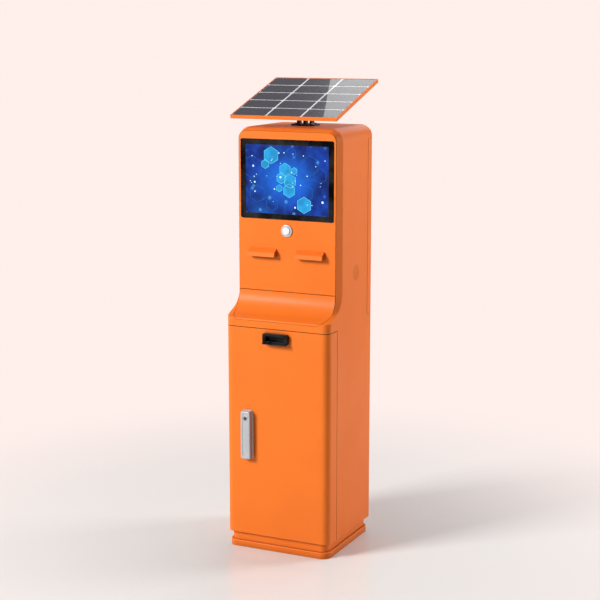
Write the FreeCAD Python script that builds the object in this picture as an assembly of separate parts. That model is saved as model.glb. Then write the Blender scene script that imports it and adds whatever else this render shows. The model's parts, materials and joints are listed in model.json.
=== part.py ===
"""Parking pay station: a free-standing sheet-steel column with a touch screen and a solar panel.

Millimetres, +Z up.  The origin is on the floor, midway across the body and midway through its
depth.  The front of the column faces -Y.  Each function below makes one piece; the list at the
end names the file that each piece is written to.
"""
import FreeCAD, Part
import math
import os

V = FreeCAD.Vector
ALONG_X = V(1, 0, 0)
ALONG_Y = V(0, 1, 0)
ALONG_Z = V(0, 0, 1)

# ---- driving sizes -----------------------------------------------------------------------
body_width = 382.0
body_depth = 358.0
body_top = 1437.0
body_bottom = 51.0
sheet = 3.0                 # steel of the cabinet and its doors
seam = 2.0                  # open line between two covers
swing_gap = 2.5             # open line where a door turns past the cabinet
panel_gap = 0.8             # open line round the front panel
fit = 0.3                   # clearance of a seated piece
pin_play = 0.05             # radial clearance of a pin in its hole

foot_inset = 3.0            # foot plate inside the body's outline
foot_height = 22.0
foot_radius = 30.0
neck_inset = 10.0
neck_top = 49.0
neck_flange = 28.0
hinge_tab = 2.5             # steel under the lower hinge bush
anchor_span_x = 280.0
anchor_span_y = 260.0
anchor_hole = 14.0
cable_hole = 80.0

front_corner = 25.0
rear_corner = 10.0
top_corner = 45.0           # long rounding between the sides and the top

door_top = 776.0            # seam between the front door and the header above it
door_wrap = 68.0            # how far the front door reaches round the sides
door_flange = 30.0          # return along the door's upright edges
door_flange_end = 14.0      # return along its top and bottom

column_setback = 108.5      # front edge of the upper sides, behind the front of the door
insert_proud = 27.8         # front panel stands this far out of the upper sides
insert_inset = 12.4         # and this far inside them
insert_corner = 27.0
scoop_corner = 40.0
scoop_bottom = 798.5
scoop_top = 889.0
scoop_radius = 80.0
scoop_turn = 70.0           # degrees of the hollow curve, centre of the panel
scoop_start = 890.0
side_radius = 80.0
side_turn = 66.0            # the same curve along the outer edge of the sides
side_start = 900.0
nose_radius = 4.5

screen_width = 304.1
screen_height = 228.1
screen_border = 18.8
screen_middle = 1265.6
module_depth = 34.0

button_middle = 1096.0
button_diameter = 41.0

visor_span = 176.0          # between the middles of the two hoods
visor_width = 100.0
visor_top = 1033.0
visor_lip = 1007.0
visor_reach = 22.0
visor_knee = 12.0           # fall of the hood's top before its front lip
reader_width = 76.0
reader_height = 20.0

speaker_middle_y = 41.0
speaker_middle_z = 949.0
speaker_field = 50.0
speaker_hole = 3.6

rear_wrap = 38.0
rear_low = 786.0
rear_high = 1394.0
rear_lock_inset = 59.0
rear_lock_heights = (880.0, 1300.0)

handle_inset = 83.0         # middle of the handle, from the side of the body
handle_bottom = 319.5
handle_length = 172.0
handle_width = 42.0
dish_height = 5.0
dish_bevel = 3.0
lever_gap = 0.5             # under the lever, so that it turns without lifting
lever_thick = 17.0
lever_heel = 5.5            # round of the lever's lower end about its pin
lever_pin_radius = 2.0
spindle_radius = 6.0
key_height = 464.0
key_radius = 7.0
rod_travel_radius = 22.0

mouth_width = 92.0
mouth_bottom = 727.0
mouth_top = 762.0
mouth_proud = 13.0
mouth_lip = 10.0

roll_back = 54.0            # middle of the paper roll, behind the door's face
roll_drop = 92.5            # and below the middle of the outlet
roll_radius = 35.0
platen_back = 37.0
platen_drop = 6.5

tray_height = 130.0
tray_back = 49.0            # battery tray, behind the edge of the front door

solar_width = 386.0
solar_length = 363.0
solar_thick = 12.0
solar_lip = 3.5
solar_tilt = 18.1
solar_rise = 47.2           # glass above the tilt bolt
solar_shift = 8.9           # middle of the glass behind the tilt bolt
pivot_y = 48.0
pivot_z = 1485.0
bolt_radius = 5.0
solar_columns = 3
solar_rows = 5

# ---- places worked out from them ------------------------------------------------------------
half = body_width / 2
front = -body_depth / 2
rear = body_depth / 2
edge_y = front + column_setback
panel_y = edge_y - insert_proud
insert_half = half - insert_inset
insert_top = body_top - insert_inset
door_rear = front + door_wrap
door_low = body_bottom + 1.0
door_high = door_top - seam
hinge_x = half - 12.0
hinge_y = door_rear - 18.0
inner_half = half - sheet - fit
frame_y = door_rear + 7.0
rear_edge = rear - rear_wrap
rear_door_low = rear_low + seam / 2
rear_door_high = rear_high - seam / 2
rear_hinge_y = rear_edge + 18.0
rear_frame_y = rear_edge - 6.0
rear_lock_x = half - rear_lock_inset
handle_x = -half + handle_inset
spindle_z = handle_bottom + dish_bevel + lever_heel
lever_y = front - dish_height - lever_gap
pivot_lever_y = lever_y - lever_heel
rod_y = frame_y + 6.0
panel_back = panel_y + sheet
mouth_z = (mouth_bottom + mouth_top) / 2
printer_half = mouth_width / 2 - 4.0
roll_y = front + roll_back
roll_z = mouth_z - roll_drop
platen_y = front + platen_back
platen_z = mouth_z - platen_drop
tray_front = door_rear + tray_back


# ---- small tools ------------------------------------------------------------------------------
def block(x0, x1, y0, y1, z0, z1):
    return Part.makeBox(x1 - x0, y1 - y0, z1 - z0, V(x0, y0, z0))


def round_bar(start, radius, length, way):
    return Part.makeCylinder(radius, length, start, way)


def tube(start, outer, inner, length, way):
    body = round_bar(start, outer, length, way)
    return body.cut(round_bar(start, inner, length, way))


def on_plan(z):
    return lambda a, b: V(a, b, z)


def on_front(y):
    return lambda a, b: V(a, y, b)


def on_side(x):
    return lambda a, b: V(x, a, b)


def add_round(edges, corner, way_in, way_out, radius, place):
    """Adds the arc of one corner and gives back where it starts and ends."""
    start = (corner[0] - way_in[0] * radius, corner[1] - way_in[1] * radius)
    end = (corner[0] + way_out[0] * radius, corner[1] + way_out[1] * radius)
    pull = radius * (1 - math.sqrt(0.5))
    middle = (corner[0] + (way_out[0] - way_in[0]) * pull, corner[1] + (way_out[1] - way_in[1]) * pull)
    if radius > 0:
        edges.append(Part.Arc(place(*start), place(*middle), place(*end)).toShape())
    return start, end


def outline(a0, a1, b0, b1, radii, place):
    """Rectangle with its own radius at each corner, from (a0, b0) anticlockwise."""
    corners = ((a0, b0), (a1, b0), (a1, b1), (a0, b1))
    ways = ((1, 0), (0, 1), (-1, 0), (0, -1))
    edges = []
    first_start, last_end = add_round(edges, corners[0], ways[3], ways[0], radii[0], place)
    for turn in (1, 2, 3):
        rounds = []
        start, end = add_round(rounds, corners[turn], ways[turn - 1], ways[turn], radii[turn], place)
        edges.append(Part.LineSegment(place(*last_end), place(*start)).toShape())
        edges += rounds
        last_end = end
    edges.append(Part.LineSegment(place(*last_end), place(*first_start)).toShape())
    return Part.Wire(edges)


def prism(wire, way):
    return Part.Face(wire).extrude(way)


def slab(x0, x1, y0, y1, z0, z1, radius):
    """Block with rounded upright corners."""
    return prism(outline(x0, x1, y0, y1, (radius,) * 4, on_plan(z0)), V(0, 0, z1 - z0))


def plate(x0, x1, z0, z1, radius, y0, y1):
    """Upright plate across the front with rounded corners."""
    return prism(outline(x0, x1, z0, z1, (radius,) * 4, on_front(y0)), V(0, y1 - y0, 0))


def polygon(points, place, way):
    corners = [place(*point) for point in points]
    return prism(Part.makePolygon(corners + corners[:1]), way)


def mirrored(shape):
    return shape.mirror(V(0, 0, 0), ALONG_X)


def joined(pieces):
    return pieces[0].multiFuse(pieces[1:]).removeSplitter()


def group(pieces):
    return Part.makeCompound(pieces)


def ring(x0, x1, z0, z1, side, end, y0, y1):
    """Flat upright frame: side is its width at the uprights, end at top and bottom."""
    return block(x0, x1, y0, y1, z0, z1).cut(block(x0 + side, x1 - side, y0, y1, z0 + end, z1 - end))


def hex_bar(centre, across, length, way):
    radius = across / math.sqrt(3)
    turns = [math.radians(60 * step) for step in range(6)]
    if way.x:
        points = [V(centre.x, centre.y + radius * math.cos(a), centre.z + radius * math.sin(a)) for a in turns]
    elif way.y:
        points = [V(centre.x + radius * math.cos(a), centre.y, centre.z + radius * math.sin(a)) for a in turns]
    else:
        points = [V(centre.x + radius * math.cos(a), centre.y + radius * math.sin(a), centre.z) for a in turns]
    return prism(Part.makePolygon(points + points[:1]), way * length)


# ---- outer form of the body ----------------------------------------------------------------------
def scoop_profile(x, face, radius, turn, start, thin):
    """Side view of the body below side_start; thin moves every wall inwards."""
    place = on_side(x)
    bend = math.radians(turn)
    hub = face - radius
    radius += thin
    top = side_start
    half_bend = bend / 2
    arc_end = (hub + radius * math.cos(bend), start - radius * math.sin(bend))
    fall = (-math.sin(bend), -math.cos(bend))
    face_front = front + thin
    reach = (face_front - arc_end[0]) / fall[0]
    corner = (face_front, arc_end[1] + reach * fall[1])
    nose = nose_radius - thin
    back = nose * math.tan(bend / 2)
    nose_start = (corner[0] - fall[0] * back, corner[1] - fall[1] * back)
    nose_end = (corner[0], corner[1] - back)
    nose_hub = (face_front + nose, nose_end[1])
    swing = math.pi - bend / 2
    nose_middle = (nose_hub[0] + nose * math.cos(swing), nose_hub[1] + nose * math.sin(swing))
    arc_middle = (hub + radius * math.cos(half_bend), start - radius * math.sin(half_bend))
    low = body_bottom
    edges = [
        Part.LineSegment(place(hub + radius, top), place(hub + radius, start)).toShape(),
        Part.Arc(place(hub + radius, start), place(*arc_middle), place(*arc_end)).toShape(),
        Part.LineSegment(place(*arc_end), place(*nose_start)).toShape(),
        Part.Arc(place(*nose_start), place(*nose_middle), place(*nose_end)).toShape(),
        Part.LineSegment(place(*nose_end), place(face_front, low)).toShape(),
        Part.LineSegment(place(face_front, low), place(rear - thin, low)).toShape(),
        Part.LineSegment(place(rear - thin, low), place(rear - thin, top)).toShape(),
        Part.LineSegment(place(rear - thin, top), place(hub + radius, top)).toShape(),
    ]
    return Part.Wire(edges)


def lower_form(thin):
    """Body below side_start, with the sloping band down each side of the scoop."""
    inner = insert_half - thin
    outer = half - thin
    centre = scoop_profile(-inner, panel_y, scoop_radius, scoop_turn, scoop_start, thin)
    middle = prism(centre, V(2 * inner, 0, 0))
    near = scoop_profile(inner, panel_y, scoop_radius, scoop_turn, scoop_start, thin)
    far = scoop_profile(outer, edge_y, side_radius, side_turn, side_start - 0.01, thin)
    cap = Part.makeLoft([near, far], True, True)
    return middle.multiFuse([cap, mirrored(cap)]).removeSplitter()


def upper_form(thin):
    """Column above side_start: rounded top edges and a sloping band round the front."""
    outer = half - thin
    inner = insert_half - thin
    low = side_start
    wide = (0, 0, top_corner - thin, top_corner - thin)
    small = (0, 0, insert_corner - thin, insert_corner - thin)
    edge = edge_y + thin
    rim = outline(-outer, outer, low, body_top - thin, wide, on_front(edge))
    nose = outline(-inner, inner, low, insert_top - thin, small, on_front(panel_y + thin))
    body = prism(rim, V(0, rear - thin - edge, 0))
    band = Part.makeLoft([nose, rim], True, True)
    return body.fuse(band).removeSplitter()


def body_form(thin):
    whole = lower_form(thin).fuse(upper_form(thin)).removeSplitter()
    radii = (front_corner - thin, front_corner - thin, rear_corner - thin, rear_corner - thin)
    plan = outline(-half + thin, half - thin, front + thin, rear - thin, radii, on_plan(0))
    return whole.common(prism(plan, V(0, 0, body_top + 10)))


def insert_outline(gap, y):
    side = insert_half - gap
    low = scoop_bottom + gap
    high = insert_top - gap
    radii = (scoop_corner, scoop_corner, insert_corner, insert_corner)
    return outline(-side, side, low, high, radii, on_front(y))


# ---- foot -------------------------------------------------------------------------------------------
def base_plate():
    side = half - foot_inset
    y0 = front + foot_inset
    y1 = rear - foot_inset
    body = slab(-side, side, y0, y1, 0, foot_height, foot_radius)
    rims = [e for e in body.Edges if abs(e.BoundBox.ZMin - foot_height) < 0.01]
    body = body.makeFillet(4, rims)
    for x in (-anchor_span_x / 2, anchor_span_x / 2):
        for y in (-anchor_span_y / 2, anchor_span_y / 2):
            body = body.cut(round_bar(V(x, y, -1), anchor_hole / 2, foot_height + 2, ALONG_Z))
    return body.cut(round_bar(V(0, 0, -1), cable_hole / 2, foot_height + 2, ALONG_Z))


def neck_block(inset, z0, z1):
    side = half - neck_inset - inset
    deep = body_depth / 2 - neck_inset - inset
    radius = max(foot_radius - 6 - inset, 3)
    return slab(-side, side, -deep, deep, z0, z1, radius)


def bolt_places():
    x = half - neck_inset - neck_flange * 0.6
    return [(side * x, y) for side in (-1, 1) for y in (door_rear + 26.0, 20.0, rear - 54.0)]


def plinth_neck():
    walls = neck_block(0, foot_height, neck_top).cut(neck_block(sheet, foot_height - 1, neck_top - sheet))
    walls = walls.cut(neck_block(neck_flange, foot_height, neck_top + 1))
    for x, y in bolt_places():
        walls = walls.cut(round_bar(V(x, y, neck_top - sheet - 1), 4.2, sheet + 2, ALONG_Z))
    return walls.cut(round_bar(V(hinge_x, hinge_y, neck_top - 5), 6.6, 6, ALONG_Z))


def cabinet_floor():
    y0 = door_rear + 6.0
    corner = rear - sheet - rear_corner
    narrow = inner_half - rear_corner
    floor = block(-inner_half, inner_half, y0, corner, neck_top, neck_top + sheet)
    floor = floor.fuse(block(-narrow, narrow, corner, rear - sheet - fit, neck_top, neck_top + sheet))
    x_open = half - neck_inset - neck_flange
    y_open = body_depth / 2 - neck_inset - neck_flange
    floor = floor.cut(block(-x_open, x_open, y0 + 15, y_open, neck_top - 1, neck_top + sheet + 1))
    for x, y in bolt_places():
        floor = floor.cut(round_bar(V(x, y, neck_top - 1), 4.2, sheet + 2, ALONG_Z))
    return floor.fuse(lower_hinge_foot()).removeSplitter()


def bolt_and_nut(x, y, top, bottom, radius, across):
    """Upright bolt that clamps what lies between two heights."""
    head = hex_bar(V(x, y, top), across, radius * 1.3, ALONG_Z)
    shank = round_bar(V(x, y, bottom - radius * 2.6), radius, top - bottom + radius * 2.7, ALONG_Z)
    nut = hex_bar(V(x, y, bottom - radius * 1.6), across, radius * 1.6, ALONG_Z)
    return joined([head, shank, nut])


def body_bolts():
    """Bolts of the plinth and of the panel bracket on the roof."""
    low = [bolt_and_nut(x, y, neck_top + sheet, neck_top - sheet, 4.0, 13.0) for x, y in bolt_places()]
    roof = body_top - sheet
    high = [bolt_and_nut(x, y, body_top + 5, roof, 3.0, 10.0) for x, y in tilt_bolt_places()]
    return group(low + high)


# ---- cabinet --------------------------------------------------------------------------------------------
def speaker_holes():
    """Hole places across the speaker: a middle hole and rings of 6, 12 and 18."""
    places = [(0.0, 0.0)]
    rings = 3
    for turn in range(1, rings + 1):
        radius = turn * (speaker_field - speaker_hole) / 2 / rings
        for step in range(6 * turn):
            angle = 2 * math.pi * step / (6 * turn)
            places.append((radius * math.cos(angle), radius * math.sin(angle)))
    return places


def panel_brackets():
    """Angles on the cabinet walls that the front panel's side returns are screwed to."""
    pieces = []
    for z in (960.0, 1160.0, 1340.0):
        angle = block(insert_half - panel_gap + fit, half - sheet + 0.5, edge_y + 6, edge_y + 9, z, z + 30)
        pieces += [angle, mirrored(angle)]
    return pieces


def rear_return(z):
    return block(-half + sheet, half - sheet, rear_frame_y, rear - sheet, z, z + sheet)


def cabinet_shell():
    shell = body_form(0).cut(body_form(sheet))
    shell = shell.cut(block(-half - 1, half + 1, front - 1, door_rear + swing_gap, 0, door_top))
    shell = shell.cut(prism(insert_outline(0, front - 20), V(0, edge_y + 40 - front, 0)))
    shell = shell.cut(block(-half - 1, half + 1, rear_edge - swing_gap, rear + 1, rear_low, rear_high))
    header = block(-half + sheet, half - sheet, front + sheet, door_rear + 4, door_top, door_top + sheet)
    header = header.common(body_form(sheet))
    returns = [rear_return(rear_low - sheet), rear_return(rear_high)]
    returns = [piece.common(body_form(sheet)) for piece in returns]
    shell = joined([shell, header] + returns + panel_brackets())
    for y, z in speaker_holes():
        place = V(half - sheet - 1, speaker_middle_y + y, speaker_middle_z + z)
        shell = shell.cut(round_bar(place, speaker_hole / 2, sheet + 2, ALONG_X))
    for x, y in tilt_bolt_places():
        shell = shell.cut(round_bar(V(x, y, body_top - sheet - 1), 3.2, sheet + 2, ALONG_Z))
    shell = shell.cut(round_bar(V(0, pivot_y, body_top - sheet - 1), 8.1, sheet + 2, ALONG_Z))
    shell = shell.cut(round_bar(V(hinge_x, hinge_y, door_top - 1), 4.0 + pin_play, sheet + 2, ALONG_Z))
    for z in (rear_low - sheet, rear_high):
        shell = shell.cut(round_bar(V(-hinge_x, rear_hinge_y, z - 1), 4.0 + pin_play, sheet + 2, ALONG_Z))
    return shell


def door_frames():
    """Flat frames welded inside the cabinet behind each door."""
    side = door_flange + 4
    end = door_flange_end + 4
    front_frame = ring(-inner_half, inner_half, neck_top + sheet, door_top - fit, side, end,
                       frame_y, frame_y + sheet)
    rear_frame = ring(-inner_half, inner_half, rear_low + fit, rear_high - fit, side, end,
                      rear_frame_y - sheet, rear_frame_y)
    return group([front_frame, rear_frame])


def door_gaskets():
    """Rubber seals on those frames, pressed by the returns of the doors."""
    x = half - sheet - door_flange + 8
    front_seal = ring(-x, x, door_low + 7, door_high - 8, 7, 6, door_rear + fit, frame_y)
    rear_seal = ring(-x, x, rear_low + 8, rear_high - 8, 7, 6, rear_frame_y, rear_edge - fit)
    return group([front_seal, rear_seal])


def equipment_shelf():
    low = rear_low + sheet
    deck = block(-inner_half, inner_half, panel_y + 20, rear_frame_y - 12, low, low + sheet)
    lip = block(-inner_half, inner_half, panel_y + 20, panel_y + 20 + sheet, low, low + 18)
    return deck.fuse(lip).removeSplitter()


# ---- front panel and what is in it --------------------------------------------------------------------------
def face_form(thin):
    """Block behind the front panel's face, down the scoop to the nose."""
    wide = insert_half + 10
    profile = scoop_profile(-wide, panel_y, scoop_radius, scoop_turn, scoop_start, thin)
    low = prism(profile, V(2 * wide, 0, 0))
    high = block(-wide, wide, panel_y + thin, rear - thin, side_start, body_top)
    return low.fuse(high)


def insert_sheet(low, high):
    """The pressed sheet that fills the front opening, between two heights."""
    skin = face_form(0).cut(face_form(sheet))
    area = prism(insert_outline(panel_gap, front - 20), V(0, edge_y + 5 - front + 20, 0))
    return skin.common(area).common(block(-half, half, front - 5, edge_y, low, high))


def front_panel():
    panel = insert_sheet(scoop_top + seam / 2, body_top)
    x1 = insert_half - panel_gap
    for x0 in (-x1, x1 - sheet):
        panel = panel.fuse(block(x0, x0 + sheet, panel_back - 0.5, edge_y + 30, scoop_top + 20, insert_top - 40))
    cut_x = screen_width / 2 + screen_border - 7
    cut_z = screen_height / 2 + screen_border - 7
    panel = panel.cut(block(-cut_x, cut_x, panel_y - 1, panel_back + 1, screen_middle - cut_z, screen_middle + cut_z))
    panel = panel.cut(round_bar(V(0, panel_y - 1, button_middle), 15.2, sheet + 2, ALONG_Y))
    for x in (-visor_span / 2, visor_span / 2):
        panel = panel.cut(reader_nose(x, fit, panel_y - 1, panel_back + 1))
    return panel.removeSplitter()


def scoop_panel():
    return insert_sheet(0, scoop_top - seam / 2)


def screen_bezel():
    x = screen_width / 2 + screen_border
    z = screen_height / 2 + screen_border
    flange = plate(-x, x, screen_middle - z, screen_middle + z, 6, panel_y - 1.6, panel_y)
    neck = plate(-x + 7.4, x - 7.4, screen_middle - z + 7.4, screen_middle + z - 7.4, 1, panel_y, panel_back + 1)
    window_x = screen_width / 2
    window_z = screen_height / 2
    hole = plate(-window_x, window_x, screen_middle - window_z, screen_middle + window_z, 2,
                 panel_y - 3, panel_back + 5)
    return flange.fuse(neck).cut(hole).removeSplitter()


def touch_glass():
    x = screen_width / 2 - fit
    z = screen_height / 2 - fit
    return plate(-x, x, screen_middle - z, screen_middle + z, 2, panel_y - 0.6, panel_back + 1)


def display_module():
    x = screen_width / 2 + 10
    z = screen_height / 2 + 10
    y0 = panel_back + 1
    return plate(-x, x, screen_middle - z, screen_middle + z, 4, y0, y0 + module_depth)


def display_brackets():
    """Angles that clamp the display module to the back of the front panel."""
    x0 = screen_width / 2 + 10 + fit
    z = screen_height / 2 + 20
    y1 = panel_back + 1 + module_depth
    side = block(x0, x0 + 2, panel_back, y1 + 2.3, screen_middle - z, screen_middle + z)
    hook = block(x0 - 12, x0 + 2, y1 + fit, y1 + fit + 2, screen_middle - z, screen_middle + z)
    foot = block(x0, x0 + 9, panel_back, panel_back + 2, screen_middle - z, screen_middle + z)
    bracket = joined([side, hook, foot])
    cut_x = screen_width / 2 + screen_border - 7
    bracket = bracket.cut(block(0, cut_x + 1, panel_back - 1, panel_back + 1.2, screen_middle - z, screen_middle + z))
    return group([bracket, mirrored(bracket)])


def call_button_ring():
    radius = button_diameter / 2
    start = V(0, panel_y - 3.5, button_middle)
    body = tube(start, radius, 13.3, 3.5, ALONG_Y)
    rim = [e for e in body.Edges if abs(e.BoundBox.YMin - start.y) < 0.01 and e.BoundBox.XLength > 2 * radius - 1]
    body = body.makeFillet(1.5, rim)
    sleeve = tube(V(0, panel_y - 0.5, button_middle), 15.0, 13.3, 22, ALONG_Y)
    return body.fuse(sleeve).removeSplitter()


def call_button_cap():
    start = V(0, panel_y - 6.5, button_middle)
    body = round_bar(start, 13.0, 16, ALONG_Y)
    rim = [e for e in body.Edges if abs(e.BoundBox.YMax - start.y) < 0.01]
    return body.makeFillet(1.5, rim)


def call_button_body():
    start = V(0, panel_y + 21.5, button_middle)
    nut = tube(V(0, panel_back, button_middle), 19.0, 15.1, 5, ALONG_Y)
    switch = round_bar(start, 14.5, 18, ALONG_Y)
    return group([nut, switch])


def visor_section(thin):
    """Side outline of a hood: a slope from the panel, then a steeper front lip."""
    top = visor_top - 1.5 * thin
    knee = (panel_y - visor_reach * 0.9 + thin, visor_top - visor_knee - 0.5 * thin)
    low = visor_lip - (1.0 if thin else 0.0)
    back = panel_y + (1.0 if thin else 0.0)
    return [(back, top), knee, (panel_y - visor_reach + thin, low), (back, low)]


def visor(middle):
    wall = 2.5
    x0 = middle - visor_width / 2
    outer = polygon(visor_section(0), on_side(x0), V(visor_width, 0, 0))
    inner = polygon(visor_section(wall), on_side(x0 + wall), V(visor_width - 2 * wall, 0, 0))
    return outer.cut(inner)


def reader_nose(middle, gap, y0, y1):
    x = reader_width / 2 + gap
    z = reader_height / 2 + gap
    centre = (visor_top + visor_lip) / 2 - 4
    return plate(middle - x, middle + x, centre - z, centre + z, 3, y0, y1)


def reader(middle, depth):
    """A contactless reader on the back of the panel, with its window in the panel under a hood."""
    nose = reader_nose(middle, 0, panel_y - 2, panel_back + 2)
    x = reader_width / 2 + 6
    centre = (visor_top + visor_lip) / 2 - 4
    body = plate(middle - x, middle + x, centre - 24, centre + 24, 3, panel_back, panel_back + depth)
    return nose.fuse(body).removeSplitter()


def ticket_scanner():
    return reader(-visor_span / 2, 46)


def card_reader():
    return reader(visor_span / 2, 78)


def speaker():
    x1 = half - sheet
    flange = tube(V(x1 - 3, speaker_middle_y, speaker_middle_z), 33, 26, 3, ALONG_X)
    basket = round_bar(V(x1 - 14, speaker_middle_y, speaker_middle_z), 27, 11.2, ALONG_X)
    magnet = round_bar(V(x1 - 24, speaker_middle_y, speaker_middle_z), 18, 10.2, ALONG_X)
    return joined([flange, basket, magnet])


# ---- electrical equipment ---------------------------------------------------------------------------------------
def controller_box():
    low = rear_low + 2 * sheet
    return slab(-120, 60, -30, 90, low, low + 70, 4)


def charge_controller():
    y1 = rear - sheet
    return slab(-70, 70, y1 - 55, y1, 560, 650, 3)


def battery_tray():
    z = tray_height
    deck = block(-inner_half, inner_half, tray_front, rear - sheet - rear_corner, z, z + sheet)
    lip = block(-inner_half, inner_half, tray_front, tray_front + sheet, z, z + 24)
    return deck.fuse(lip).removeSplitter()


def battery():
    z = tray_height + sheet
    y0 = tray_front + 12
    body = slab(-90, 91, y0, y0 + 167, z, z + 155, 4)
    lid = slab(-88, 89, y0 + 2, y0 + 165, z + 155, z + 167, 3)
    posts = [round_bar(V(x, y0 + 145, z + 166), 7, 14, ALONG_Z) for x in (-65, 66)]
    return joined([body, lid] + posts)


# ---- front door ---------------------------------------------------------------------------------------------------
def pan(y_face, y_edge, low, high, corner, flange_side, flange_end):
    """A door pressed as a tray, with a narrow return round its open edge."""
    way = 1 if y_edge > y_face else -1
    y0 = min(y_face, y_edge)
    y1 = max(y_face, y_edge)
    radii = (corner, corner, 0, 0) if way > 0 else (0, 0, corner, corner)
    skin = prism(outline(-half, half, y0, y1, radii, on_plan(low)), V(0, 0, high - low))
    small = max(corner - sheet, 0.5)
    radii = (small, small, 0, 0) if way > 0 else (0, 0, small, small)
    a0 = y0 + sheet
    a1 = y1 - sheet
    inside = outline(-half + sheet, half - sheet, a0, a1, radii, on_plan(low + sheet))
    skin = skin.cut(prism(inside, V(0, 0, high - low - 2 * sheet)))
    x = half - sheet - flange_side
    ends = sorted((y_edge - way * sheet * 2, y_edge + way))
    return skin.cut(block(-x, x, ends[0], ends[1], low + flange_end, high - flange_end))


def front_door():
    door = pan(front, door_rear, door_low, door_high, front_corner, door_flange, door_flange_end)
    for z in (door_low - 1, door_high - sheet - 1):
        door = door.cut(round_bar(V(hinge_x, hinge_y, z), 7.1, sheet + 2, ALONG_Z))
    door = door.cut(round_bar(V(handle_x, front - 1, spindle_z), spindle_radius + 3, sheet + 2, ALONG_Y))
    return door.cut(mouth_neck(fit, front - 1, front + sheet + 1))


def bush(x, y, z):
    return tube(V(x, y, z), 7.0, 4.0 + pin_play, 8, ALONG_Z)


def front_hinge_bushes():
    low = bush(hinge_x, hinge_y, door_low)
    high = bush(hinge_x, hinge_y, door_high - 8)
    return group([low, high])


def hinge_pin(x, y, start, length, head):
    """Pin with a flat head; the head sits at the start and length may be negative."""
    way = V(0, 0, 1 if length > 0 else -1)
    shaft = round_bar(V(x, y, start), 4.0, abs(length), way)
    cap = round_bar(V(x, y, start) - way * head, 5.6, head, way)
    return shaft.fuse(cap).removeSplitter()


def lower_hinge_foot():
    """Tab in front of the cabinet floor that carries the lower hinge pin."""
    y1 = door_rear + 6.5
    foot = block(hinge_x - 14, hinge_x + 8, hinge_y - 10, y1, neck_top, neck_top + hinge_tab)
    return foot.cut(round_bar(V(hinge_x, hinge_y, neck_top - 1), 4.0 + pin_play, sheet + 2, ALONG_Z))


def hinge_pins():
    """The front door's pins on the right and the rear door's on the left."""
    pins = [
        hinge_pin(hinge_x, hinge_y, neck_top, 18, 4),
        hinge_pin(hinge_x, hinge_y, door_top + sheet, -18, 4),
        hinge_pin(-hinge_x, rear_hinge_y, rear_low - sheet, 16, 4),
        hinge_pin(-hinge_x, rear_hinge_y, rear_high + sheet, -16, 4),
    ]
    return group(pins)


def door_stiffener():
    """Upright strip inside the door with the guides of the lock rods."""
    y0 = door_rear - 2 * sheet
    strip = block(handle_x - 32, handle_x + 32, y0, y0 + sheet, door_low + sheet + 1, door_high - sheet - 1)
    strip = strip.cut(round_bar(V(handle_x, y0 - 1, spindle_z), spindle_radius + 2, sheet + 2, ALONG_Y))
    upper = [rod_guide(1, z) for z in (470.0, 690.0)]
    lower = [rod_guide(-1, z) for z in (110.0, 230.0)]
    return joined([strip] + upper + lower)


def handle_dish():
    x = handle_width / 2
    low = handle_bottom
    high = low + handle_length
    wide = outline(handle_x - x, handle_x + x, low, high, (8,) * 4, on_front(front))
    x -= dish_bevel
    small = outline(handle_x - x, handle_x + x, low + dish_bevel, high - dish_bevel, (6,) * 4,
                    on_front(front - dish_height))
    dish = Part.makeLoft([small, wide], True, True)
    hole = round_bar(V(handle_x, front - dish_height - 1, spindle_z), spindle_radius + pin_play, 20, ALONG_Y)
    return dish.cut(hole)


def swing_lever():
    """Lever of the handle: hollow at its heel for the spindle, with a sunk field round the key."""
    x = handle_width / 2 - dish_bevel
    low = spindle_z - lever_heel
    high = handle_bottom + handle_length - dish_bevel
    y0 = lever_y - lever_thick
    body = plate(handle_x - x, handle_x + x, low, high, 6, y0, lever_y)
    rims = [e for e in body.Edges if e.BoundBox.YMax < y0 + 0.01]
    body = body.makeChamfer(2.5, rims)
    corner = block(handle_x - x - 1, handle_x + x + 1, pivot_lever_y, lever_y + 1, low - 1, spindle_z)
    heel = round_bar(V(handle_x - x - 1, pivot_lever_y, spindle_z), lever_heel, 2 * x + 2, ALONG_X)
    body = body.cut(corner.cut(heel))
    skin = 3.4
    body = body.cut(block(handle_x - 4.4, handle_x + 4.4, y0 + skin, lever_y + 1, low - 1, spindle_z + 9))
    pin = round_bar(V(handle_x - 20, pivot_lever_y, spindle_z), lever_pin_radius + pin_play, 40, ALONG_X)
    field = plate(handle_x - x + 7, handle_x + x - 7, low + 10, high - 8, 10, y0 - 1, y0 + 1.2)
    key = round_bar(V(handle_x, y0 - 1, key_height), key_radius + pin_play, lever_thick + 2, ALONG_Y)
    boss = tube(V(handle_x, y0 + 0.4, key_height), key_radius + 3, key_radius + pin_play, 1.5, ALONG_Y)
    return body.cut(pin).cut(field).cut(key).fuse(boss).removeSplitter()


def lever_pin():
    return round_bar(V(handle_x - 13, pivot_lever_y, spindle_z), lever_pin_radius, 26, ALONG_X)


def lock_cylinder():
    y0 = lever_y - lever_thick
    body = round_bar(V(handle_x, y0 + 0.8, key_height), key_radius, lever_thick - 1.5, ALONG_Y)
    return body.cut(block(handle_x - 1.2, handle_x + 1.2, y0, y0 + 7, key_height - 4, key_height + 4))


def lock_spindle():
    """Turning core of the handle: an eye for the lever's pin on a shaft through the door."""
    eye_radius = lever_heel - 1.0
    eye = round_bar(V(handle_x - 4, pivot_lever_y, spindle_z), eye_radius, 8, ALONG_X)
    rise = eye_radius - 0.6
    tongue = block(handle_x - 4, handle_x + 4, pivot_lever_y, lever_y + 1, spindle_z - rise, spindle_z + rise)
    start = lever_y + 0.2
    shaft = round_bar(V(handle_x, start, spindle_z), spindle_radius, rod_y - 1.5 - start, ALONG_Y)
    hole = round_bar(V(handle_x - 8, pivot_lever_y, spindle_z), lever_pin_radius + pin_play, 16, ALONG_X)
    return joined([eye, tongue, shaft]).cut(hole)


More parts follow.
